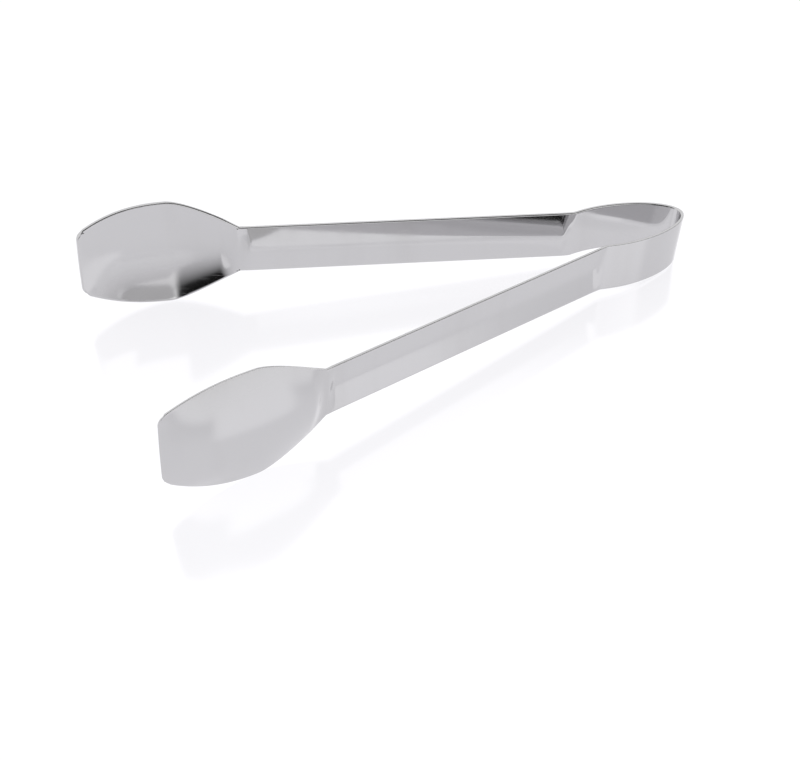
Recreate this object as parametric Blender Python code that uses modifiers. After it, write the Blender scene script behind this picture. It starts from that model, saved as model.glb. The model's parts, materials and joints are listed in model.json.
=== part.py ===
"""Ice tongs: one strip of stainless steel, folded into a spring bow with two arms that end in
shallow bowls. The strip is built zone by zone, because each zone is formed differently and the
bow is what bends when the arms are squeezed.

Plan frame, before the tongs are laid down: +X towards the bow, Y across, Z across the strip.
The left arm is the -Y one, as seen by somebody who holds the bow and looks along the arms.
"""

import math

import bmesh
import bpy
from mathutils import Vector

# ---- driving dimensions, metres ----
SHEET = 0.0010             # thickness of the strip
CUT_GAP = 0.0003           # clearance between neighbouring zones

BOW_WIDTH = 0.0159         # height of the strip when the tongs stand on edge
BOW_HALF_LENGTH = 0.0247   # the bow's plan is a superellipse arc about the frame's origin
BOW_HALF_BREADTH = 0.0105
BOW_EXPONENT = 1.85
BOW_END_ANGLE = math.radians(111.0)     # parameter angle where an arm begins
CROWN_END_ANGLE = math.radians(32.0)    # parameter angle where crown and flank meet

ARM_LENGTH = 0.1040
ARM_SPLAY = math.radians(14.4)          # of each arm, from the middle plane
ARM_WIDTH_AT_BOW = 0.0159
ARM_WIDTH_AT_BOWL = 0.0156
RIDGE_HEIGHT = 0.00145     # of the stiffening ridge that is pressed towards the inside
RIDGE_ROUNDING = 0.16      # of the ridge's top, as a share of the half width
RIDGE_RUN_OUT = 0.0035     # length in which the ridge rises from, or falls to, the flat strip

BOWL_LENGTH = 0.0474
BOWL_WIDTH = 0.0350        # at the widest place
BOWL_TIP_WIDTH = 0.0208    # of the straight end
BOWL_WIDEST_AT = 0.46      # share of the length, from the arm
BOWL_SHOULDER_POWER = 1.25  # fullness of the outline between the arm and the widest place
BOWL_SHOULDER_EASE = 0.16  # how softly that part of the outline starts at the widest place
BOWL_TIP_POWER = 2.3       # the same between the widest place and the tip
BOWL_FLARE = math.radians(2.8)          # the rim starts this much wider than the arm
BOWL_TURN = math.radians(16.9)          # and turns in by this much on its way to the tip
TIP_CORNER = 0.0020        # rounding of the tip's corners
WALL_SLOPE = 0.465         # of the dish, about the same all along its rims
DISH_ROUNDING = 0.90       # of the dish's bottom, as a share of the half width
DISH_START = 0.13          # share of the bowl's length in which the walls rise
DISH_END_POWER = 5.0       # how late the dish runs out towards the tip

# ---- how finely each zone is divided: (along, across) ----
CROWN_GRID = (14, 1)
FLANK_GRID = (14, 1)
ARM_GRID = (22, 8)
BOWL_GRID = (24, 12)

STEEL_COLOR = (0.62, 0.61, 0.63, 1.0)
STEEL_ROUGHNESS = 0.18


def clear_scene():
    for obj in list(bpy.data.objects):
        bpy.data.objects.remove(obj, do_unlink=True)


def new_collection(name):
    collection = bpy.data.collections.new(name)
    bpy.context.scene.collection.children.link(collection)
    return collection


def steel_material(node_name):
    material = bpy.data.materials.new(node_name + "_steel")
    material.use_nodes = True
    shader = material.node_tree.nodes["Principled BSDF"]
    shader.inputs["Base Color"].default_value = STEEL_COLOR
    shader.inputs["Roughness"].default_value = STEEL_ROUGHNESS
    shader.inputs["Metallic"].default_value = 1.0
    return material


# ---- the strip's middle line in plan, for the +Y side ----

def bow_point(angle):
    """Point of the bow's superellipse; angle 0 is the middle of the crown."""
    power = 2.0 / BOW_EXPONENT
    x = math.copysign(abs(math.cos(angle)) ** power, math.cos(angle))
    y = math.copysign(abs(math.sin(angle)) ** power, math.sin(angle))
    return Vector((BOW_HALF_LENGTH * x, BOW_HALF_BREADTH * y, 0.0))


def arm_point(distance):
    heading = Vector((-math.cos(ARM_SPLAY), math.sin(ARM_SPLAY), 0.0))
    return bow_point(BOW_END_ANGLE) + distance * heading


def bowl_point(distance):
    """The bowl's rims follow a circular arc that turns in towards the middle plane."""
    start = ARM_SPLAY + BOWL_FLARE
    heading = start - BOWL_TURN * distance / BOWL_LENGTH
    radius = BOWL_LENGTH / BOWL_TURN
    run = radius * (math.sin(start) - math.sin(heading))
    rise = radius * (math.cos(heading) - math.cos(start))
    return arm_point(ARM_LENGTH) + Vector((-run, rise, 0.0))


def smooth(x):
    x = min(max(x, 0.0), 1.0)
    return x * x * (3.0 - 2.0 * x)


# ---- the strip's half width and its section, zone by zone ----

def arm_half_width(distance):
    share = distance / ARM_LENGTH
    return 0.5 * (ARM_WIDTH_AT_BOW + (ARM_WIDTH_AT_BOWL - ARM_WIDTH_AT_BOW) * share)


def eased_power(x, power, ease):
    """x to a power, from 0 to 1, with a round start instead of a sharp one."""
    def raised(value):
        return math.hypot(value, ease) ** power
    return (raised(x) - raised(0.0)) / (raised(1.0) - raised(0.0))


def outline_half_width(distance):
    """Half width of the bowl, before the tip's corners are rounded."""
    share = distance / BOWL_LENGTH
    if share < BOWL_WIDEST_AT:
        fall = eased_power((BOWL_WIDEST_AT - share) / BOWL_WIDEST_AT, BOWL_SHOULDER_POWER, BOWL_SHOULDER_EASE)
        width = BOWL_WIDTH - (BOWL_WIDTH - ARM_WIDTH_AT_BOWL) * fall
    else:
        fall = ((share - BOWL_WIDEST_AT) / (1.0 - BOWL_WIDEST_AT)) ** BOWL_TIP_POWER
        width = BOWL_WIDTH - (BOWL_WIDTH - BOWL_TIP_WIDTH) * fall
    return 0.5 * width


def bowl_half_width(distance):
    past_corner = max(0.0, distance - (BOWL_LENGTH - TIP_CORNER))
    corner = TIP_CORNER - math.sqrt(max(0.0, TIP_CORNER ** 2 - past_corner ** 2))
    return outline_half_width(distance) - corner


def ridge_offset(across, rise):
    """The arm's middle stands in from its rims, like a shallow V with a rounded top."""
    profile = math.hypot(1.0, RIDGE_ROUNDING) - math.hypot(across, RIDGE_ROUNDING)
    return -RIDGE_HEIGHT * rise * profile


def arm_offset(distance, across):
    rise = smooth(distance / RIDGE_RUN_OUT) * smooth((ARM_LENGTH - distance) / RIDGE_RUN_OUT)
    return ridge_offset(across, rise)


def bowl_offset(distance, across):
    """The dish's walls keep about the same slope, so it is deepest where the bowl is widest."""
    share = distance / BOWL_LENGTH
    past = max(0.0, (share - BOWL_WIDEST_AT) / (1.0 - BOWL_WIDEST_AT))
    slope = WALL_SLOPE * smooth(share / DISH_START) * (1.0 - past ** DISH_END_POWER)
    bowed = math.hypot(1.0, DISH_ROUNDING) - math.hypot(across, DISH_ROUNDING)
    return slope * outline_half_width(distance) * bowed


def strip_point(zone, place, across, side):
    """Point of the strip's middle surface.

    place is an angle on the bow and a distance on an arm or a bowl; across runs from -1 at the
    lower rim to 1 at the upper one; side is 1 for +Y and -1 for -Y.
    """
    if zone in ("crown", "flank"):
        centre, half, offset = bow_point(place), 0.5 * BOW_WIDTH, 0.0
        outward = Vector((0.0, 0.0, 0.0))
    elif zone == "arm":
        centre, half, offset = arm_point(place), arm_half_width(place), arm_offset(place, across)
        outward = Vector((math.sin(ARM_SPLAY), math.cos(ARM_SPLAY), 0.0))
    else:
        centre, half, offset = bowl_point(place), bowl_half_width(place), bowl_offset(place, across)
        heading = ARM_SPLAY + BOWL_FLARE - BOWL_TURN * place / BOWL_LENGTH
        outward = Vector((math.sin(heading), math.cos(heading), 0.0))
    point = centre + offset * outward
    return Vector((point.x, side * point.y, across * half))


def bow_speed(angle):
    step = 1e-4
    return (bow_point(angle + step) - bow_point(angle - step)).length / (2.0 * step)


def even_places(start, end, count):
    return [start + (end - start) * i / count for i in range(count + 1)]


def arm_places(start, end, count):
    """Stations along an arm, close together where the ridge rises and falls."""
    near = (count - 4) // 2
    first = even_places(start, RIDGE_RUN_OUT, near)
    last = even_places(ARM_LENGTH - RIDGE_RUN_OUT, end, near)
    middle = even_places(RIDGE_RUN_OUT, ARM_LENGTH - RIDGE_RUN_OUT, 4)
    return first + middle[1:-1] + last


def bowl_places(start, end, count):
    """Stations along a bowl: some where the walls rise, and some inside the rounded corners."""
    wall_steps = 5
    corner_steps = 4
    risen = DISH_START * BOWL_LENGTH
    walls = even_places(start, risen, wall_steps)
    body = even_places(risen, BOWL_LENGTH - TIP_CORNER, count - wall_steps - corner_steps)
    corner = [BOWL_LENGTH - TIP_CORNER + TIP_CORNER * math.sin(0.5 * math.pi * i / corner_steps)
              for i in range(1, corner_steps)]
    return walls + body[1:] + corner + [end]


def strip_zone(name, zone, places, rows, side, hinge, collection):
    """A zone of the strip: an open grid laid on the formed surface, thickened to the sheet."""
    bm = bmesh.new()
    columns = len(places) - 1
    bmesh.ops.create_grid(bm, x_segments=columns, y_segments=rows, size=0.5)
    for vert in bm.verts:
        column = round((vert.co.x + 0.5) * columns)
        across = 2.0 * vert.co.y
        vert.co = strip_point(zone, places[column], across, side) - hinge["place"]
    mesh = bpy.data.meshes.new(name)
    bm.to_mesh(mesh)
    bm.free()
    mesh.shade_smooth()
    mesh.materials.append(steel_material(name))
    obj = bpy.data.objects.new(name, mesh)
    collection.objects.link(obj)
    obj.parent = hinge["empty"]
    solidify = obj.modifiers.new("sheet", "SOLIDIFY")
    solidify.thickness = SHEET
    solidify.offset = 0.0
    solidify.use_even_offset = True
    return obj


def hinge_empty(name, parent, place, collection):
    """An empty on a flexing line of the bow, with its Z along the line."""
    empty = bpy.data.objects.new(name, None)
    empty.empty_display_size = BOW_WIDTH
    collection.objects.link(empty)
    empty.parent = parent["empty"]
    empty.location = place - parent["place"]
    return {"empty": empty, "place": place}


def build_side(label, side, held, collection):
    """One flank, arm and bowl, hung on the two lines where that side of the bow flexes."""
    flank_start = CROWN_END_ANGLE + 0.5 * CUT_GAP / bow_speed(CROWN_END_ANGLE)
    flank_end = BOW_END_ANGLE - 0.5 * CUT_GAP / bow_speed(BOW_END_ANGLE)
    mirror = Vector((1.0, side, 1.0))
    flank_hinge = hinge_empty(label + "_bow_flex_line", held,
                              bow_point(CROWN_END_ANGLE) * mirror, collection)
    arm_hinge = hinge_empty(label + "_arm_flex_line", flank_hinge,
                            bow_point(BOW_END_ANGLE) * mirror, collection)
    strip_zone(label + "_bow_flank", "flank", even_places(flank_start, flank_end, FLANK_GRID[0]),
               FLANK_GRID[1], side, flank_hinge, collection)
    strip_zone(label + "_arm", "arm",
               arm_places(0.5 * CUT_GAP, ARM_LENGTH - 0.5 * CUT_GAP, ARM_GRID[0]),
               ARM_GRID[1], side, arm_hinge, collection)
    strip_zone(label + "_bowl", "bowl",
               bowl_places(0.5 * CUT_GAP, BOWL_LENGTH, BOWL_GRID[0]),
               BOWL_GRID[1], side, arm_hinge, collection)


def lay_down(frame, collection):
    """Tilt the tongs until the crown and both bowls touch the ground; put the origin below them.

    The crown's lower edge is narrower than the bowls, so the ground is the steepest line from
    the crown's lowest corner to a bowl's lower rim.
    """
    bpy.context.view_layer.update()
    graph = bpy.context.evaluated_depsgraph_get()
    points = []
    for obj in collection.objects:
        if obj.type == "MESH":
            solid = obj.evaluated_get(graph)
            points += [solid.matrix_world @ vert.co for vert in solid.data.vertices]
    crown_x = max(p.x for p in points)
    crown_z = -0.5 * BOW_WIDTH
    tilt = max(math.atan2(crown_z - p.z, crown_x - p.x) for p in points if p.x < crown_x - BOWL_LENGTH)
    frame.rotation_euler = (0.0, tilt, 0.0)
    turn = frame.rotation_euler.to_matrix()
    turned = [turn @ p for p in points]
    low_x, high_x = min(p.x for p in turned), max(p.x for p in turned)
    frame.location = (-0.5 * (low_x + high_x), 0.0, -min(p.z for p in turned))
    bpy.context.view_layer.update()
    print("tilt", round(math.degrees(tilt), 3), "degrees")


def build():
    clear_scene()
    collection = new_collection("ice_tongs")
    frame = bpy.data.objects.new("tongs_frame", None)
    collection.objects.link(frame)
    held = {"empty": frame, "place": Vector((0.0, 0.0, 0.0))}
    crown_end = CROWN_END_ANGLE - 0.5 * CUT_GAP / bow_speed(CROWN_END_ANGLE)
    strip_zone("bow_crown", "crown", even_places(-crown_end, crown_end, CROWN_GRID[0]),
               CROWN_GRID[1], 1, held, collection)
    build_side("left", -1, held, collection)
    build_side("right", 1, held, collection)
    lay_down(frame, collection)


build()
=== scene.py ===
# %% [markdown]
# # Ice tongs, formed from one strip of steel
#
# Ice tongs of this kind are a single strip. A press cuts the flat outline, pushes a ridge
# into each arm and a dish into each bowl, and the strip is then folded round into a bow.
# This lesson follows the same order in Blender: cut a flat blank, press it, fold it along
# a plan line, give it the thickness of the sheet and round its rims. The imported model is
# the fixed frame: it says where the bow is, how the tongs stand and where they flex.

# %% Load the frame
import json
import math

import bmesh
import bpy
import numpy as np
from mathutils import Matrix, Vector


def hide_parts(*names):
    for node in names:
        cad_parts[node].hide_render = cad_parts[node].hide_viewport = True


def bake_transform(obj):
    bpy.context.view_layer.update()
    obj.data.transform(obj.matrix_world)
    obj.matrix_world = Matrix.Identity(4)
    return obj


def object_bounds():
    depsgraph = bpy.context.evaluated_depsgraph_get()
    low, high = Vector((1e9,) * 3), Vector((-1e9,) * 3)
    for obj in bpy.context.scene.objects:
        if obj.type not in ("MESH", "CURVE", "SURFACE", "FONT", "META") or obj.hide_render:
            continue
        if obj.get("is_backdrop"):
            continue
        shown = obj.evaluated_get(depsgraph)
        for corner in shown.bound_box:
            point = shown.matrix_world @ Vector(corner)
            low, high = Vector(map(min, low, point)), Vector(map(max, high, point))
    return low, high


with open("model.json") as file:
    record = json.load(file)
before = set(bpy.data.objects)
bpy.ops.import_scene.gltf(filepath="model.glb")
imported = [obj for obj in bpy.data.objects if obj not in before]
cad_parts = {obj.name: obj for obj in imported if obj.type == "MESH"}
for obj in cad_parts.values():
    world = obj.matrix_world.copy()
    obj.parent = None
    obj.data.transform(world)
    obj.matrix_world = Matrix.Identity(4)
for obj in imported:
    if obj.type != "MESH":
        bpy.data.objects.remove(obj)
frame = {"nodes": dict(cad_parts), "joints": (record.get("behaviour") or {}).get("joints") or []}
cad_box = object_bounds()
print("nodes:", sorted(frame["nodes"]))

# %% [markdown]
# ## The camera
#
# The camera looks down on the tongs from the side of the bowls, as somebody who is about
# to pick them up. It could be aimed with a constraint, but two angles say the same with
# nothing left live. It is placed from the middle of the model's box, so that it keeps its
# place if the model changes, and its lens is in millimetres on Blender's 36 mm sensor.

# %% Camera
CAMERA_FROM_CENTRE = Vector((-0.1267, -0.2715, 0.2368))
CAMERA_HEADING = math.radians(23.90)    # from +Y towards +X
CAMERA_PITCH = math.radians(40.95)      # below the horizon
CAMERA_LENS_MM = 56.93
CAMERA_NEAREST = 0.01                   # metres; nothing nearer is shown

box_low, box_high = cad_box
floor_centre = Vector((0.5 * (box_low.x + box_high.x), 0.0, box_low.z))


def add_camera():
    camera = bpy.data.objects.new("camera", bpy.data.cameras.new("camera"))
    bpy.context.scene.collection.objects.link(camera)
    look = Vector((math.sin(CAMERA_HEADING) * math.cos(CAMERA_PITCH),
                   math.cos(CAMERA_HEADING) * math.cos(CAMERA_PITCH),
                   -math.sin(CAMERA_PITCH)))
    camera.location = floor_centre + CAMERA_FROM_CENTRE
    camera.rotation_euler = look.to_track_quat("-Z", "Y").to_euler()
    camera.data.lens = CAMERA_LENS_MM
    camera.data.clip_start = CAMERA_NEAREST
    bpy.context.scene.camera = camera
    return camera


camera = add_camera()
print("camera at", [round(value, 4) for value in camera.location])

# %% [markdown]
# ## A small kit for node trees
#
# Both the shaders and the Geometry Nodes trees below are made of many small nodes. Laying
# them out by hand in the editor would work as well, but then nobody could read them here.
# These helpers keep each node on one line: `add` makes a node and fills its inputs with
# values or links, `calc` makes a Math node, and `ramp` is a soft step.

# %% Node helpers


def add(tree, kind, inputs=None, **settings):
    """A new node; inputs maps a socket's name or number to a value or another socket."""
    node = tree.nodes.new(kind)
    for key, value in settings.items():
        setattr(node, key, value)
    for key, value in (inputs or {}).items():
        socket = node.inputs[key]
        if isinstance(value, bpy.types.NodeSocket):
            tree.links.new(value, socket)
        else:
            socket.default_value = value
    return node


def calc(tree, operation, *values, kind="ShaderNodeMath"):
    """The result of a Math node, or of another node that has operations."""
    node = add(tree, kind, dict(enumerate(values)), operation=operation)
    return node.outputs[0]


def ramp(tree, value, start, end):
    """0 before start, 1 after end, and smooth in between."""
    node = add(tree, "ShaderNodeMapRange", {0: value, 1: start, 2: end}, interpolation_type="SMOOTHSTEP")
    return node.outputs[0]


# %% [markdown]
# ## Sizes of the strip
#
# The sizes are those of the forming tools: the bow's outline, the arms and the bowls, with
# lengths in metres. The bow is part of a superellipse, a curve between an ellipse and a diamond: one
# formula gives its round end and its nearly straight flanks, where a chain of arcs would
# leave a visible step in the reflections at each joint. Distances along the strip start
# at the middle of the bow, and both halves are alike.

# %% Strip sizes
SHEET = 0.0010
BOW_WIDTH = 0.0159
BOW_HALF_LENGTH = 0.0247
BOW_HALF_BREADTH = 0.0105
BOW_EXPONENT = 1.85
BOW_END_ANGLE = math.radians(111.0)
ARM_LENGTH = 0.1040
ARM_SPLAY = math.radians(14.4)
ARM_WIDTH_AT_BOWL = 0.0156
KINK_LENGTH = 0.0024       # of the soft bends at both ends of an arm
BOWL_LENGTH = 0.0474
BOWL_WIDTH = 0.0350
BOWL_TIP_WIDTH = 0.0208
BOWL_WIDEST_AT = 0.46
BOWL_SHOULDER_POWER = 1.25
BOWL_SHOULDER_EASE = 0.16
BOWL_TIP_POWER = 2.3
BOWL_FLARE = math.radians(2.8)
BOWL_TURN = math.radians(16.9)
TIP_CORNER = 0.0020
LINE_STEP = 0.0001         # between the points of the plan line
BOW_SAMPLES = 4000         # points for measuring along the bow


def bow_point(angle):
    """Point of the bow in plan; angle 0 is the middle of the strip."""
    power = 2.0 / BOW_EXPONENT
    x = math.copysign(abs(math.cos(angle)) ** power, math.cos(angle))
    y = abs(math.sin(angle)) ** power
    return np.array((BOW_HALF_LENGTH * x, BOW_HALF_BREADTH * y))


def bow_headings():
    """Distances along half of the bow, the heading at each of them, and the whole length."""
    angles = np.linspace(0.0, BOW_END_ANGLE, BOW_SAMPLES)
    points = np.array([bow_point(angle) for angle in angles])
    steps = np.diff(points, axis=0)
    distance = np.concatenate(([0.0], np.cumsum(np.hypot(steps[:, 0], steps[:, 1]))))
    middle = 0.5 * (distance[1:] + distance[:-1])
    heading = np.unwrap(np.arctan2(steps[:, 1], steps[:, 0]))
    return middle, heading, distance[-1]


bow_middle, bow_heading, BOW_LENGTH = bow_headings()
ARM_END = BOW_LENGTH + ARM_LENGTH
STRIP_END = ARM_END + BOWL_LENGTH
print("half strip", round(STRIP_END * 1000, 1), "mm, of which the bow has", round(BOW_LENGTH * 1000, 1))

# %% [markdown]
# ## The plan line
#
# Seen from above, the folded strip is one line: half of the bow, a straight arm that
# splays outwards, and a bowl that turns in. A line like this is easiest to keep smooth
# through its heading. Each zone gives a heading at every distance, the headings are
# averaged over a short length so that the bends get a radius, and stepping along them
# gives the points. The other half of the line is its mirror image.

# %% Plan line


def plan_headings(distances):
    """Heading of the line at each distance, before the bends are softened."""
    on_bow = np.interp(distances, bow_middle, bow_heading)
    on_arm = math.pi - ARM_SPLAY
    on_bowl = on_arm - BOWL_FLARE + BOWL_TURN * (distances - ARM_END) / BOWL_LENGTH
    heading = np.where(distances < BOW_LENGTH, on_bow, on_arm)
    return np.where(distances > ARM_END, on_bowl, heading)


def plan_points():
    """Points of the whole line, from the left tip round the bow to the right one."""
    count = int(round(STRIP_END / LINE_STEP))
    step = STRIP_END / count
    distances = (np.arange(count) + 0.5) * step
    window = int(round(KINK_LENGTH / step)) | 1
    weights = np.hanning(window + 2)[1:-1]
    padded = np.pad(plan_headings(distances), window // 2, mode="reflect", reflect_type="odd")
    heading = np.convolve(padded, weights / weights.sum(), "valid")
    run = np.concatenate(([0.0], np.cumsum(np.cos(heading) * step)))
    rise = np.concatenate(([0.0], np.cumsum(np.sin(heading) * step)))
    half = np.column_stack((BOW_HALF_LENGTH + run, rise, 0.0 * run))
    other = half[:0:-1] * (1.0, -1.0, 1.0)
    return np.concatenate((other, half))


def line_object(name, points):
    curve = bpy.data.curves.new(name, "CURVE")
    curve.dimensions = "3D"
    spline = curve.splines.new("POLY")
    spline.points.add(len(points) - 1)
    spline.points.foreach_set("co", np.column_stack((points, np.ones(len(points)))).ravel())
    line = bpy.data.objects.new(name, curve)
    bpy.context.scene.collection.objects.link(line)
    return line


line_points = plan_points()
plan_line = line_object("plan_line", line_points)
print("tips are", round(1000 * (line_points[-1][1] - line_points[0][1]), 1), "mm apart")

# %% [markdown]
# ## The flat blank
#
# A flat outline could be a filled curve, but its faces would be long slivers that can't be
# bent. So the blank is a grid as long as the whole strip, and each cross row is pulled in
# to the width of the outline there. X is the distance along the strip. Two attributes
# keep how far across each point lies, from -1 to 1, and the half width of its row. The UV
# map holds the flat shape in metres, so that polishing lines can follow the strip round
# its bends. Rows are closer together where the shape changes quickly. In each corner the
# square cells are drawn in to a quarter circle, and the corner cell is split, so that the
# rim has an edge to follow there when it is rounded.

# %% Flat blank
ROW_STEP = 0.0007
FINE_STEP = 0.0003
FINE_REACH = 0.0060        # on both sides of a bend
CORNER_ROWS = 2
COLUMNS = 32


def eased_power(x, power, ease):
    """x to a power, from 0 to 1, with a round start instead of a sharp one."""
    def raised(value):
        return math.hypot(value, ease) ** power
    return (raised(x) - raised(0.0)) / (raised(1.0) - raised(0.0))


def half_width(distance):
    """Half of the strip's width, before the tips' corners are rounded."""
    if distance < BOW_LENGTH:
        return 0.5 * BOW_WIDTH
    if distance < ARM_END:
        return 0.5 * (BOW_WIDTH + (ARM_WIDTH_AT_BOWL - BOW_WIDTH) * (distance - BOW_LENGTH) / ARM_LENGTH)
    share = (distance - ARM_END) / BOWL_LENGTH
    if share < BOWL_WIDEST_AT:
        before = (BOWL_WIDEST_AT - share) / BOWL_WIDEST_AT
        fall = eased_power(before, BOWL_SHOULDER_POWER, BOWL_SHOULDER_EASE)
        width = BOWL_WIDTH - (BOWL_WIDTH - ARM_WIDTH_AT_BOWL) * fall
    else:
        fall = ((share - BOWL_WIDEST_AT) / (1.0 - BOWL_WIDEST_AT)) ** BOWL_TIP_POWER
        width = BOWL_WIDTH - (BOWL_WIDTH - BOWL_TIP_WIDTH) * fall
    return 0.5 * width


def round_corner(distance, y):
    """Points in the square corner of a tip move in until the corner is a quarter circle."""
    half = half_width(STRIP_END)
    into_end = (distance - (STRIP_END - TIP_CORNER)) / TIP_CORNER
    into_side = (abs(y) - (half - TIP_CORNER)) / TIP_CORNER
    if into_end <= 0.0 or into_side <= 0.0:
        return distance, y
    into_side = min(into_side, 1.0)
    end = into_end * math.sqrt(1.0 - 0.5 * into_side ** 2)
    side = into_side * math.sqrt(1.0 - 0.5 * into_end ** 2)
    edge = half_width(distance) - half
    y = math.copysign(half - TIP_CORNER + TIP_CORNER * side + edge * (1.0 - into_end), y)
    return STRIP_END - TIP_CORNER + TIP_CORNER * end, y


def half_rows():
    """Distances of the cross rows on one half of the strip."""
    rows = [0.0]
    while rows[-1] < STRIP_END - TIP_CORNER - FINE_STEP:
        near_bend = min(abs(rows[-1] - BOW_LENGTH), abs(rows[-1] - ARM_END)) < FINE_REACH
        rows.append(rows[-1] + (FINE_STEP if near_bend else ROW_STEP))
    corner = [STRIP_END - TIP_CORNER * (1.0 - i / CORNER_ROWS) for i in range(CORNER_ROWS + 1)]
    return rows[:-1] + corner


def split_corner_cells(bm):
    """Cut the one cell in each corner along its diagonal."""
    for vert in [vert for vert in bm.verts if len(vert.link_faces) == 1]:
        loop = vert.link_loops[0]
        opposite = loop.link_loop_next.link_loop_next.vert
        bmesh.utils.face_split(loop.face, vert, opposite)


def flat_blank():
    """The flat strip as a grid, with its attributes and its UV map."""
    rows = half_rows()
    rows = [-distance for distance in rows[:0:-1]] + rows
    bm = bmesh.new()
    bmesh.ops.create_grid(bm, x_segments=len(rows) - 1, y_segments=COLUMNS, size=0.5)
    across = bm.verts.layers.float.new("across")
    half = bm.verts.layers.float.new("half_width")
    uv_layer = bm.loops.layers.uv.new("strip")
    for vert in bm.verts:
        along = rows[round((vert.co.x + 0.5) * (len(rows) - 1))]
        vert[across] = 2.0 * vert.co.y
        vert[half] = half_width(abs(along))
        distance, y = round_corner(abs(along), vert[across] * vert[half])
        vert.co = (math.copysign(distance, along), y, 0.0)
    for face in bm.faces:
        face.smooth = True
        for loop in face.loops:
            loop[uv_layer].uv = loop.vert.co.xy
    split_corner_cells(bm)
    mesh = bpy.data.meshes.new("strip")
    bm.to_mesh(mesh)
    bm.free()
    blank = bpy.data.objects.new("strip", mesh)
    bpy.context.scene.collection.objects.link(blank)
    return blank


strip = flat_blank()
print("blank has", len(strip.data.polygons), "faces")

# %% [markdown]
# ## Steel
#
# Bright stainless steel is a mirror that is never quite perfect. The polishing belt leaves
# hairlines along the strip, handling leaves dull patches and a few fine scratches, and the
# cut rims are duller than the faces. All of these are slight: they change the roughness
# a little and tilt the surface by less than a degree. An image texture would need a file,
# and would repeat, so all but the rims are stretched noise. The lines are laid out on the
# strip's UV map, whose unit is the metre, so they follow the strip round the bow and into
# the bowls. The broad patches have no direction, so they lie in Object coordinates.

# %% Steel
STEEL_COLOR = (0.602, 0.598, 0.606)
SMUDGED_COLOR = (0.585, 0.580, 0.586)
MIRROR_ROUGHNESS = 0.055
HAIRLINE_ROUGHNESS = 0.030     # added on the hairlines
SMUDGE_ROUGHNESS = 0.045       # added in the dull patches
SCRATCH_ROUGHNESS = 0.120      # added on the scratches
RIM_ROUGHNESS = 0.140          # added on the cut rims
HAIRLINE_PITCH = 0.00011       # metres across the strip
HAIRLINE_LENGTH = 0.0090
SCRATCH_WIDTH = 0.00016
SCRATCH_LENGTH = 0.0065
SMUDGE_SIZE = 0.0100
WAVE_SIZE = 0.0085             # of the faint unevenness of pressed sheet
WAVE_HEIGHT = 0.000004
HAIRLINE_HEIGHT = 0.0000002
SCRATCH_SETS = ((0.35, 1.3), (-0.6, 5.9), (1.2, 9.4))   # turn in radians, and place, of each set
SCRATCH_LEVELS = (0.80, 0.86)  # of the noise: only its highest spots become scratches
DULL_LEVELS = (0.48, 0.72)     # of the noise, where a dull patch begins and where it is full
RIM_STARTS = (0.975, 0.995)    # the same for the rim, as a share of the half width


def stretched_noise(tree, point, long, short, detail, turn=0.0, place=0.0):
    """Noise with long narrow spots, in metres; turn and place pick another part of the noise."""
    laid = add(tree, "ShaderNodeMapping", {"Vector": point, "Rotation": (0.0, 0.0, turn),
                                           "Scale": (1.0 / long, 1.0 / short, 1.0),
                                           "Location": (place, place, place)})
    noise = add(tree, "ShaderNodeTexNoise", {"Vector": laid.outputs[0], "Scale": 1.0, "Detail": detail})
    return noise.outputs[0]


def steel_material():
    material = bpy.data.materials.new("polished_steel")
    material.use_nodes = True
    tree = material.node_tree
    shader = tree.nodes["Principled BSDF"]
    strip_point = add(tree, "ShaderNodeUVMap", uv_map="strip").outputs[0]
    body_point = add(tree, "ShaderNodeTexCoord").outputs["Object"]
    hairlines = stretched_noise(tree, strip_point, HAIRLINE_LENGTH, HAIRLINE_PITCH, detail=3.0)
    smudges = stretched_noise(tree, body_point, SMUDGE_SIZE, SMUDGE_SIZE, detail=4.0, place=3.1)
    waves = stretched_noise(tree, body_point, WAVE_SIZE, WAVE_SIZE, detail=0.0, place=7.7)
    dull = ramp(tree, smudges, *DULL_LEVELS)
    scratches = 0.0
    for turn, place in SCRATCH_SETS:
        noise = stretched_noise(tree, strip_point, SCRATCH_LENGTH, SCRATCH_WIDTH, 0.0, turn, place)
        scratches = calc(tree, "MAXIMUM", scratches, ramp(tree, noise, *SCRATCH_LEVELS))
    across = add(tree, "ShaderNodeAttribute", attribute_name="across").outputs["Fac"]
    rim = ramp(tree, calc(tree, "ABSOLUTE", across), *RIM_STARTS)
    roughness = MIRROR_ROUGHNESS
    for mask, share in ((hairlines, HAIRLINE_ROUGHNESS), (dull, SMUDGE_ROUGHNESS),
                        (scratches, SCRATCH_ROUGHNESS), (rim, RIM_ROUGHNESS)):
        roughness = calc(tree, "MULTIPLY_ADD", mask, share, roughness)
    tree.links.new(roughness, shader.inputs["Roughness"])
    color = add(tree, "ShaderNodeMix", {"Factor": dull, "A": (*STEEL_COLOR, 1.0),
                                        "B": (*SMUDGED_COLOR, 1.0)}, data_type="RGBA")
    tree.links.new(color.outputs["Result"], shader.inputs["Base Color"])
    shader.inputs["Metallic"].default_value = 1.0
    wavy = add(tree, "ShaderNodeBump", {"Strength": 1.0, "Distance": WAVE_HEIGHT, "Height": waves})
    lined = add(tree, "ShaderNodeBump", {"Strength": 1.0, "Distance": HAIRLINE_HEIGHT, "Height": hairlines,
                                         "Normal": wavy.outputs[0]})
    tree.links.new(lined.outputs[0], shader.inputs["Normal"])
    return material


steel = steel_material()
print("steel has", len(steel.node_tree.nodes), "nodes")

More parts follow.
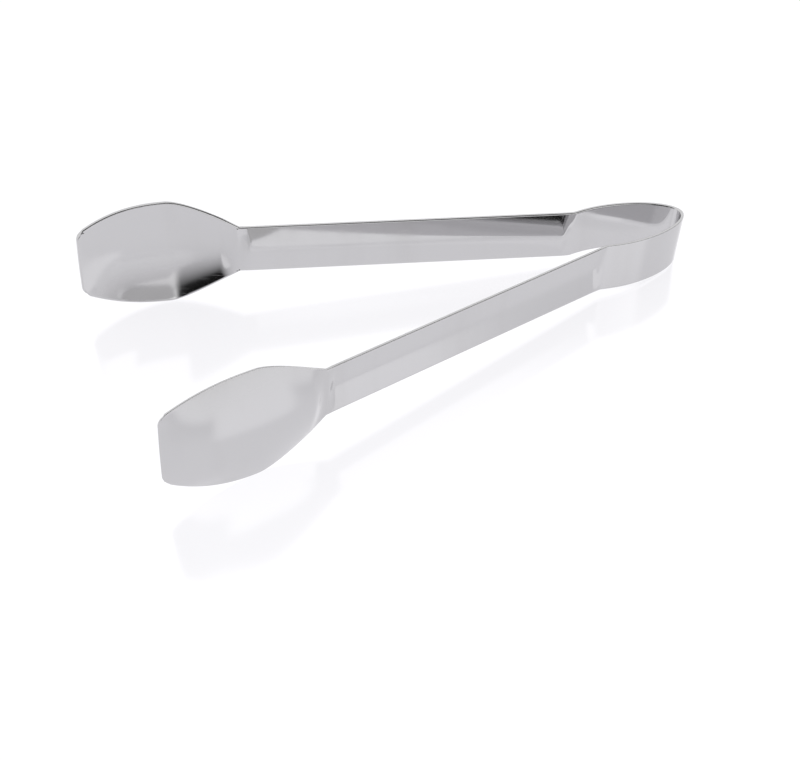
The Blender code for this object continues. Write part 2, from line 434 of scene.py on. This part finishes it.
# %% [markdown]
# ## Pressing
#
# The real strip goes through a press before it is folded, while it is still easy to lay
# flat. Here the press is a Geometry Nodes tree, because both of its shapes follow a rule
# along the strip: a shallow V ridge along each arm, which stands in from the rims and
# stiffens the arm, and a dish in each bowl. Sculpting would never give reflections this
# even. The dish's walls keep the same slope nearly all round, so it is deepest where the
# bowl is widest. Every size of the tool is a named input of the tree.

# %% Press tree
PRESS_SIZES = {
    "Ridge height": 0.00145,
    "Ridge rounding": 0.16,
    "Ridge run-out": 0.0035,
    "Arm start": BOW_LENGTH,
    "Arm end": ARM_END,
    "Wall slope": 0.465,
    "Dish rounding": 0.90,
    "Dish start": 0.13,
    "Dish fall": BOWL_WIDEST_AT,
    "Dish end power": 5.0,
    "Dish length": BOWL_LENGTH,
}


def new_tree(name, sizes):
    """A Geometry Nodes tree with a geometry input and one float input for each size."""
    tree = bpy.data.node_groups.new(name, "GeometryNodeTree")
    tree.interface.new_socket("Geometry", in_out="INPUT", socket_type="NodeSocketGeometry")
    for size in sizes:
        tree.interface.new_socket(size, in_out="INPUT", socket_type="NodeSocketFloat")
    tree.interface.new_socket("Geometry", in_out="OUTPUT", socket_type="NodeSocketGeometry")
    return tree, tree.nodes.new("NodeGroupInput").outputs


def attribute(tree, name):
    node = add(tree, "GeometryNodeInputNamedAttribute", {"Name": name}, data_type="FLOAT")
    return node.outputs[0]


def rounded_v(tree, across, rounding):
    """A V across the strip with a rounded point: 0 at the rims and highest in the middle."""
    round_squared = calc(tree, "MULTIPLY", rounding, rounding)
    at_rim = calc(tree, "SQRT", calc(tree, "ADD", round_squared, 1.0))
    here = calc(tree, "SQRT", calc(tree, "ADD", round_squared, calc(tree, "MULTIPLY", across, across)))
    return calc(tree, "SUBTRACT", at_rim, here)


def end_tree(tree, geometry):
    """Make the result real, give it the steel and connect it to the tree's output."""
    real = add(tree, "GeometryNodeRealizeInstances", {0: geometry})
    dressed = add(tree, "GeometryNodeSetMaterial", {0: real.outputs[0], "Material": steel})
    add(tree, "NodeGroupOutput", {0: dressed.outputs[0]})
    return tree


def press_tree():
    tree, size = new_tree("press", PRESS_SIZES)
    place = add(tree, "ShaderNodeSeparateXYZ", {0: add(tree, "GeometryNodeInputPosition").outputs[0]})
    distance = calc(tree, "ABSOLUTE", place.outputs[0])
    across = attribute(tree, "across")
    half = attribute(tree, "half_width")
    # the ridge: a rounded V across the arm, which rises and falls at the arm's ends
    ridge = calc(tree, "MULTIPLY", size["Ridge height"], rounded_v(tree, across, size["Ridge rounding"]))
    begun = calc(tree, "ADD", size["Arm start"], size["Ridge run-out"])
    ending = calc(tree, "SUBTRACT", size["Arm end"], size["Ridge run-out"])
    ridge = calc(tree, "MULTIPLY", ridge, ramp(tree, distance, size["Arm start"], begun))
    ridge = calc(tree, "MULTIPLY", ridge, ramp(tree, distance, size["Arm end"], ending))
    # the dish: its slope grows from the arm, stays even, and falls to nothing at the tip
    share = calc(tree, "DIVIDE", calc(tree, "SUBTRACT", distance, size["Arm end"]), size["Dish length"])
    past = calc(tree, "DIVIDE", calc(tree, "SUBTRACT", share, size["Dish fall"]),
                calc(tree, "SUBTRACT", 1.0, size["Dish fall"]))
    past = calc(tree, "POWER", calc(tree, "MAXIMUM", past, 0.0), size["Dish end power"])
    slope = calc(tree, "MULTIPLY", size["Wall slope"], ramp(tree, share, 0.0, size["Dish start"]))
    slope = calc(tree, "MULTIPLY", slope, calc(tree, "SUBTRACT", 1.0, past))
    bowed = calc(tree, "MULTIPLY", half, rounded_v(tree, across, size["Dish rounding"]))
    dish = calc(tree, "MULTIPLY", slope, bowed)
    lift = add(tree, "ShaderNodeCombineXYZ", {"Z": calc(tree, "SUBTRACT", dish, ridge)}).outputs[0]
    pressed = add(tree, "GeometryNodeSetPosition", {"Geometry": size["Geometry"], "Offset": lift})
    return end_tree(tree, pressed.outputs[0])


def use_tree(obj, tree, values):
    """The tree as a modifier, with its inputs set through the sockets' identifiers."""
    modifier = obj.modifiers.new(tree.name, "NODES")
    modifier.node_group = tree
    for socket in tree.interface.items_tree:
        if socket.in_out == "INPUT" and socket.name in values:
            modifier[socket.identifier] = values[socket.name]


use_tree(strip, press_tree(), PRESS_SIZES)
print("press has", len(bpy.data.node_groups["press"].nodes), "nodes")

# %% [markdown]
# ## Folding
#
# A Curve modifier could bend the blank, but it stretches what lies off the curve's end and
# hides its rules. The second tree folds the pressed blank openly. It reads each point's
# distance along the strip, finds that place on the plan line, and moves the point there:
# its width goes up along Z, and its pressed depth goes outwards, square to the line.

# %% Fold tree


def fold_tree():
    tree, size = new_tree("fold", {"Middle": 0.0})
    line = add(tree, "GeometryNodeObjectInfo", {"Object": plan_line})
    place = add(tree, "ShaderNodeSeparateXYZ", {0: add(tree, "GeometryNodeInputPosition").outputs[0]})
    length = calc(tree, "ADD", place.outputs[0], size["Middle"])
    sample = add(tree, "GeometryNodeSampleCurve", {"Curves": line.outputs["Geometry"], "Length": length},
                 mode="LENGTH")
    up = add(tree, "ShaderNodeCombineXYZ", {"Z": place.outputs[1]}).outputs[0]
    vector = "ShaderNodeVectorMath"
    square = calc(tree, "CROSS_PRODUCT", sample.outputs["Tangent"], (0.0, 0.0, 1.0), kind=vector)
    square = calc(tree, "NORMALIZE", square, kind=vector)
    outward = add(tree, vector, {0: square, "Scale": place.outputs[2]}, operation="SCALE").outputs[0]
    target = calc(tree, "ADD", sample.outputs["Position"], up, kind=vector)
    target = calc(tree, "ADD", target, outward, kind=vector)
    folded = add(tree, "GeometryNodeSetPosition", {"Geometry": size["Geometry"], "Position": target})
    return end_tree(tree, folded.outputs[0])


line_length = sum(spline.calc_length() for spline in plan_line.data.splines)
use_tree(strip, fold_tree(), {"Middle": 0.5 * line_length})
print("plan line is", round(line_length * 1000, 2), "mm long")

# %% [markdown]
# ## Sheet thickness and rims
#
# Solidify gives the folded surface the thickness of the sheet, half to each side. A
# press cuts from one face, so that face's rim comes out rounded and the other one stays
# nearly sharp. A Bevel modifier would round both alike, so the rims are beveled in the
# mesh itself. They are found by number: Solidify keeps the surface's own vertices for the
# outer face and adds as many again for the inner one. The normals are then weighted by
# area, so that the flat faces stay flat and only the rims turn.

# %% Sheet and rims
INNER_RIM = 0.00045
INNER_RIM_STEPS = 5
OUTER_RIM = 0.00014
OUTER_RIM_STEPS = 2
NORMAL_WEIGHT = 60         # above 50, large faces count for more than small ones


def flattened(obj):
    """The evaluated object as a plain mesh, without its modifiers."""
    bpy.context.view_layer.update()
    graph = bpy.context.evaluated_depsgraph_get()
    return bpy.data.meshes.new_from_object(obj.evaluated_get(graph), preserve_all_data_layers=True,
                                           depsgraph=graph)


def rim_edges(bm, first, last):
    """Edges of one face of the sheet, by vertex number, that border on the cut side."""
    def inside(vert):
        return first <= vert.index < last
    return [edge for edge in bm.edges if all(inside(vert) for vert in edge.verts)
            and any(not inside(vert) for face in edge.link_faces for vert in face.verts)]


def thick_sheet(obj, count):
    """A mesh of the sheet, from a surface that has count vertices, with both rims rounded."""
    solidify = obj.modifiers.new("sheet", "SOLIDIFY")
    solidify.thickness = SHEET
    solidify.offset = 0.0
    solidify.use_even_offset = True
    mesh = flattened(obj)
    bm = bmesh.new()
    bm.from_mesh(mesh)
    bm.verts.index_update()
    outer = rim_edges(bm, 0, count)
    inner = rim_edges(bm, count, 2 * count)
    bmesh.ops.bevel(bm, geom=inner, offset=INNER_RIM, segments=INNER_RIM_STEPS,
                    profile=0.5, affect="EDGES")
    outer = [edge for edge in outer if edge.is_valid]
    bmesh.ops.bevel(bm, geom=outer, offset=OUTER_RIM, segments=OUTER_RIM_STEPS,
                    profile=0.5, affect="EDGES")
    for face in bm.faces:
        face.smooth = True
    bm.to_mesh(mesh)
    bm.free()
    return mesh


def weighted_normals(mesh):
    """The mesh with normals that follow its large faces, so the rims stay narrow."""
    holder = bpy.data.objects.new("holder", mesh)
    bpy.context.scene.collection.objects.link(holder)
    weighted = holder.modifiers.new("normals", "WEIGHTED_NORMAL")
    weighted.weight = NORMAL_WEIGHT
    result = flattened(holder)
    bpy.data.objects.remove(holder)
    return result


formed = weighted_normals(thick_sheet(strip, len(strip.data.vertices)))
print("formed strip has", len(formed.polygons), "faces")

# %% [markdown]
# ## Standing the tongs up
#
# The frame's joints say where the strip really is: both arm joints lie where an arm
# leaves the bow, and their axes lie along the strip's width. The strip is turned and
# moved so that its own arm joints meet the frame's.

# %% Stand up


def joint_named(name):
    return next(joint for joint in frame["joints"] if joint["name"] == name)


def joint_place(name):
    return Vector(joint_named(name)["pos_m"])


def standing():
    """The move that takes the strip from its plan line to its place in the frame."""
    up = Vector(joint_named("right_arm_flex")["axis"]).normalized()
    side = Vector((0.0, 1.0, 0.0))
    turn = Matrix((side.cross(up), side, up)).transposed()
    own_joint = Vector((*bow_point(BOW_END_ANGLE), 0.0))
    return Matrix.Translation(joint_place("right_arm_flex") - turn @ own_joint) @ turn.to_4x4()


stand = standing()
formed.transform(stand)
print("the strip leans", round(math.degrees(stand.to_euler().y), 1), "degrees")

# %% [markdown]
# ## Pieces
#
# The strip has a spring on each side, and the two bend on their own. So it is cut in the
# middle of the bow, and once more halfway along each flank. That gives four pieces, and
# each of them lies across two bodies of the frame, which are hidden. Each cut leaves an open
# end, which a flat cap closes. All pieces keep the normals of the whole strip, so the light
# runs over a seam without a step.

# %% Pieces
CROWN_END = 0.0080         # along the strip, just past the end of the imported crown
FLANK_SEAM = round(0.5 * (BOW_LENGTH + CROWN_END) / ROW_STEP) * ROW_STEP     # on a cross row
BEYOND_TIP = STRIP_END + 0.01


def faces_between(mesh, low, high):
    """For each face, whether it lies between two distances along the strip."""
    uv = np.zeros(2 * len(mesh.loops), np.float32)
    mesh.uv_layers["strip"].data.foreach_get("uv", uv)
    along = uv[0::2]
    return [low < along[face.loop_start:face.loop_start + face.loop_total].mean() < high
            for face in mesh.polygons]


def cap_ends(bm):
    """Flat faces over the open ends, with sharp edges; returns how many there are."""
    open_edges = [edge for edge in bm.edges if edge.is_boundary]
    caps = bmesh.ops.holes_fill(bm, edges=open_edges, sides=0)["faces"]
    normal_layer = bm.loops.layers.float_vector["true_normal"]
    for cap in caps:
        cap.smooth = False
        cap.normal_update()
        for loop in cap.loops:
            loop[normal_layer] = cap.normal
        for edge in cap.edges:
            edge.smooth = False
    return len(caps)


def cut_piece(name, low, high):
    """The part of the formed strip between two distances, capped, with the whole strip's normals."""
    mesh = formed.copy()
    mesh.name = name
    flags = faces_between(mesh, low, high)
    normals = np.zeros(3 * len(mesh.loops), np.float32)
    mesh.corner_normals.foreach_get("vector", normals)
    mesh.attributes.new("keep", "BOOLEAN", "FACE").data.foreach_set("value", flags)
    mesh.attributes.new("true_normal", "FLOAT_VECTOR", "CORNER").data.foreach_set("vector", normals)
    bm = bmesh.new()
    bm.from_mesh(mesh)
    keep = bm.faces.layers.bool["keep"]
    bmesh.ops.delete(bm, geom=[face for face in bm.faces if not face[keep]], context="FACES")
    caps = cap_ends(bm)
    bm.to_mesh(mesh)
    bm.free()
    normals = np.zeros(3 * len(mesh.loops), np.float32)
    mesh.attributes["true_normal"].data.foreach_get("vector", normals)
    mesh.normals_split_custom_set(normals.reshape(-1, 3))
    for extra in ("keep", "true_normal"):
        mesh.attributes.remove(mesh.attributes[extra])
    piece = bpy.data.objects.new(name, mesh)
    bpy.context.scene.collection.objects.link(piece)
    print(name, len(mesh.polygons), "faces,", caps, "caps")
    return piece


def add_side(side_name, sign):
    """The two pieces of one side: half of the spring, and the arm with its bowl."""
    near = sorted((0.0, sign * FLANK_SEAM))
    far = sorted((sign * FLANK_SEAM, sign * BEYOND_TIP))
    spring = cut_piece(side_name + "_spring", *near)
    arm = cut_piece(side_name + "_arm_and_bowl", *far)
    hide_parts("bow_crown", side_name + "_bow_flank")
    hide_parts(side_name + "_bow_flank", side_name + "_arm", side_name + "_bowl")
    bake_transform(spring)
    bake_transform(arm)


for side_name, sign in (("left", -1), ("right", 1)):
    add_side(side_name, sign)
bpy.data.objects.remove(strip)
bpy.data.objects.remove(plan_line)

# %% [markdown]
# ## Floor, light and surroundings
#
# Polished metal shows nothing but its surroundings, so they matter as much as the steel.
# The tongs lie on a glossy light table inside a white tent. The tent is open on the side
# of the left bowl. The dark room behind that opening draws the dark shapes on the steel,
# and a broad lamp beside it keeps the near arm bright. A few area lights could do the
# same, but their edges would show as hard stripes. Here the whole tent is one formula of
# azimuth and elevation in the world shader, with a soft edge round each part.

# %% Floor and surroundings
FLOOR_SIZE = 8.0
FLOOR_GLOW = (0.998, 0.992, 1.022)
FLOOR_IOR = 2.1
FLOOR_DIFFUSE = 0.16
FLOOR_ROUGHNESS = 0.14
TENT = 1.0                         # brightness of the tent's cloth
OPENING = 0.010                    # and of the dark room seen through its opening
LAMP = 1.20                        # of the lamp beside the opening
ABOVE_LAMP = 0.12                  # and of the dark above the lamp
OPENING_AZIMUTH = (-46.0, -18.0)   # degrees, from -Y towards +X
UPPER_LEFT = -78.0                 # the opening is wider above the lamp's low part
LAMP_AZIMUTH = (14.0, 48.0)        # of the lamp's tall part
SIDE_AZIMUTH = 110.0               # where the tent's cloth begins again
LOW_TOP = 16.0                     # degrees above the horizon, of the lamp's low part
LAMP_TOP = 34.0                    # and of its tall part
OPENING_TOP = 74.0
SOFT_EDGE = 6.0                    # degrees over which one part changes to the next


def floor_material():
    """A sheet that glows, is lightly painted, and has a gloss that grows at low angles."""
    material = bpy.data.materials.new("light_table")
    material.use_nodes = True
    tree = material.node_tree
    tree.nodes.clear()
    glow = add(tree, "ShaderNodeEmission", {"Color": (*FLOOR_GLOW, 1.0), "Strength": 1.0})
    paint = add(tree, "ShaderNodeBsdfDiffuse", {"Color": (FLOOR_DIFFUSE,) * 3 + (1.0,)})
    under = add(tree, "ShaderNodeAddShader", {0: glow.outputs[0], 1: paint.outputs[0]})
    gloss = add(tree, "ShaderNodeBsdfGlossy", {"Roughness": FLOOR_ROUGHNESS})
    facing = add(tree, "ShaderNodeFresnel", {"IOR": FLOOR_IOR})
    mix = add(tree, "ShaderNodeMixShader", {0: facing.outputs[0], 1: under.outputs[0], 2: gloss.outputs[0]})
    add(tree, "ShaderNodeOutputMaterial", {0: mix.outputs[0]})
    return material


def add_floor():
    mesh = bpy.data.meshes.new("floor")
    half = 0.5 * FLOOR_SIZE
    corners = [(-half, -half, 0), (half, -half, 0), (half, half, 0), (-half, half, 0)]
    mesh.from_pydata(corners, [], [(0, 1, 2, 3)])
    mesh.materials.append(floor_material())
    floor = bpy.data.objects.new("floor", mesh)
    floor.location = floor_centre
    bpy.context.scene.collection.objects.link(floor)
    floor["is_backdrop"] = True


def blend_value(tree, share, first, second):
    """first where share is 0, second where it is 1."""
    return calc(tree, "MULTIPLY_ADD", share, calc(tree, "SUBTRACT", second, first), first)


def below(tree, value, top):
    """1 below top, with a soft edge above it."""
    return ramp(tree, value, top + SOFT_EDGE, top)


def between(tree, value, low, high):
    """1 between low and high, with soft edges."""
    after_low = ramp(tree, value, low - SOFT_EDGE, low)
    before_high = below(tree, value, high)
    return calc(tree, "MULTIPLY", after_low, before_high)


def tent_level(tree):
    """Brightness of the surroundings in every direction."""
    way = add(tree, "ShaderNodeSeparateXYZ", {0: add(tree, "ShaderNodeTexCoord").outputs["Generated"]})
    azimuth = calc(tree, "ARCTAN2", way.outputs["X"], calc(tree, "MULTIPLY", way.outputs["Y"], -1.0))
    azimuth = calc(tree, "DEGREES", azimuth)
    elevation = calc(tree, "DEGREES", calc(tree, "ARCSINE", way.outputs["Z"]))
    left, right = OPENING_AZIMUTH
    below_top = below(tree, elevation, OPENING_TOP)
    low = below(tree, elevation, LOW_TOP)
    high = calc(tree, "SUBTRACT", 1.0, low)
    upper = calc(tree, "MULTIPLY", between(tree, azimuth, UPPER_LEFT, right), high)
    opening = calc(tree, "MAXIMUM", between(tree, azimuth, left, right), upper)
    opening = calc(tree, "MULTIPLY", opening, below_top)
    side = calc(tree, "MULTIPLY", between(tree, azimuth, right, SIDE_AZIMUTH), below_top)
    tall = calc(tree, "MULTIPLY", between(tree, azimuth, *LAMP_AZIMUTH), below(tree, elevation, LAMP_TOP))
    beside = blend_value(tree, calc(tree, "MAXIMUM", tall, low), ABOVE_LAMP, LAMP)
    level = blend_value(tree, side, TENT, beside)
    return blend_value(tree, opening, level, OPENING)


def surroundings():
    """The world: the tent for everything but the background itself, which is plain cloth."""
    world = bpy.data.worlds.new("tent")
    bpy.context.scene.world = world
    world.use_nodes = True
    tree = world.node_tree
    tree.nodes.clear()
    path = add(tree, "ShaderNodeLightPath")
    level = blend_value(tree, path.outputs["Is Camera Ray"], tent_level(tree), TENT)
    sky = add(tree, "ShaderNodeBackground", {"Color": (1.0, 1.0, 1.0, 1.0), "Strength": level})
    add(tree, "ShaderNodeOutputWorld", {0: sky.outputs[0]})
    print("tent has", len(tree.nodes), "nodes")


add_floor()
surroundings()
bpy.context.scene.view_settings.view_transform = "Standard"

# %% [markdown]
# ## Measuring and finishing
#
# The smooth tongs should be as large as the imported model, and not larger. So the corners
# of both boxes are printed, the imported model's first.

# %% Print the sizes and finish
new_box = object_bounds()
for name, corners in (("packed", cad_box), ("visual", new_box)):
    print(name, [[round(1000 * value, 2) for value in corner] for corner in corners], "mm")
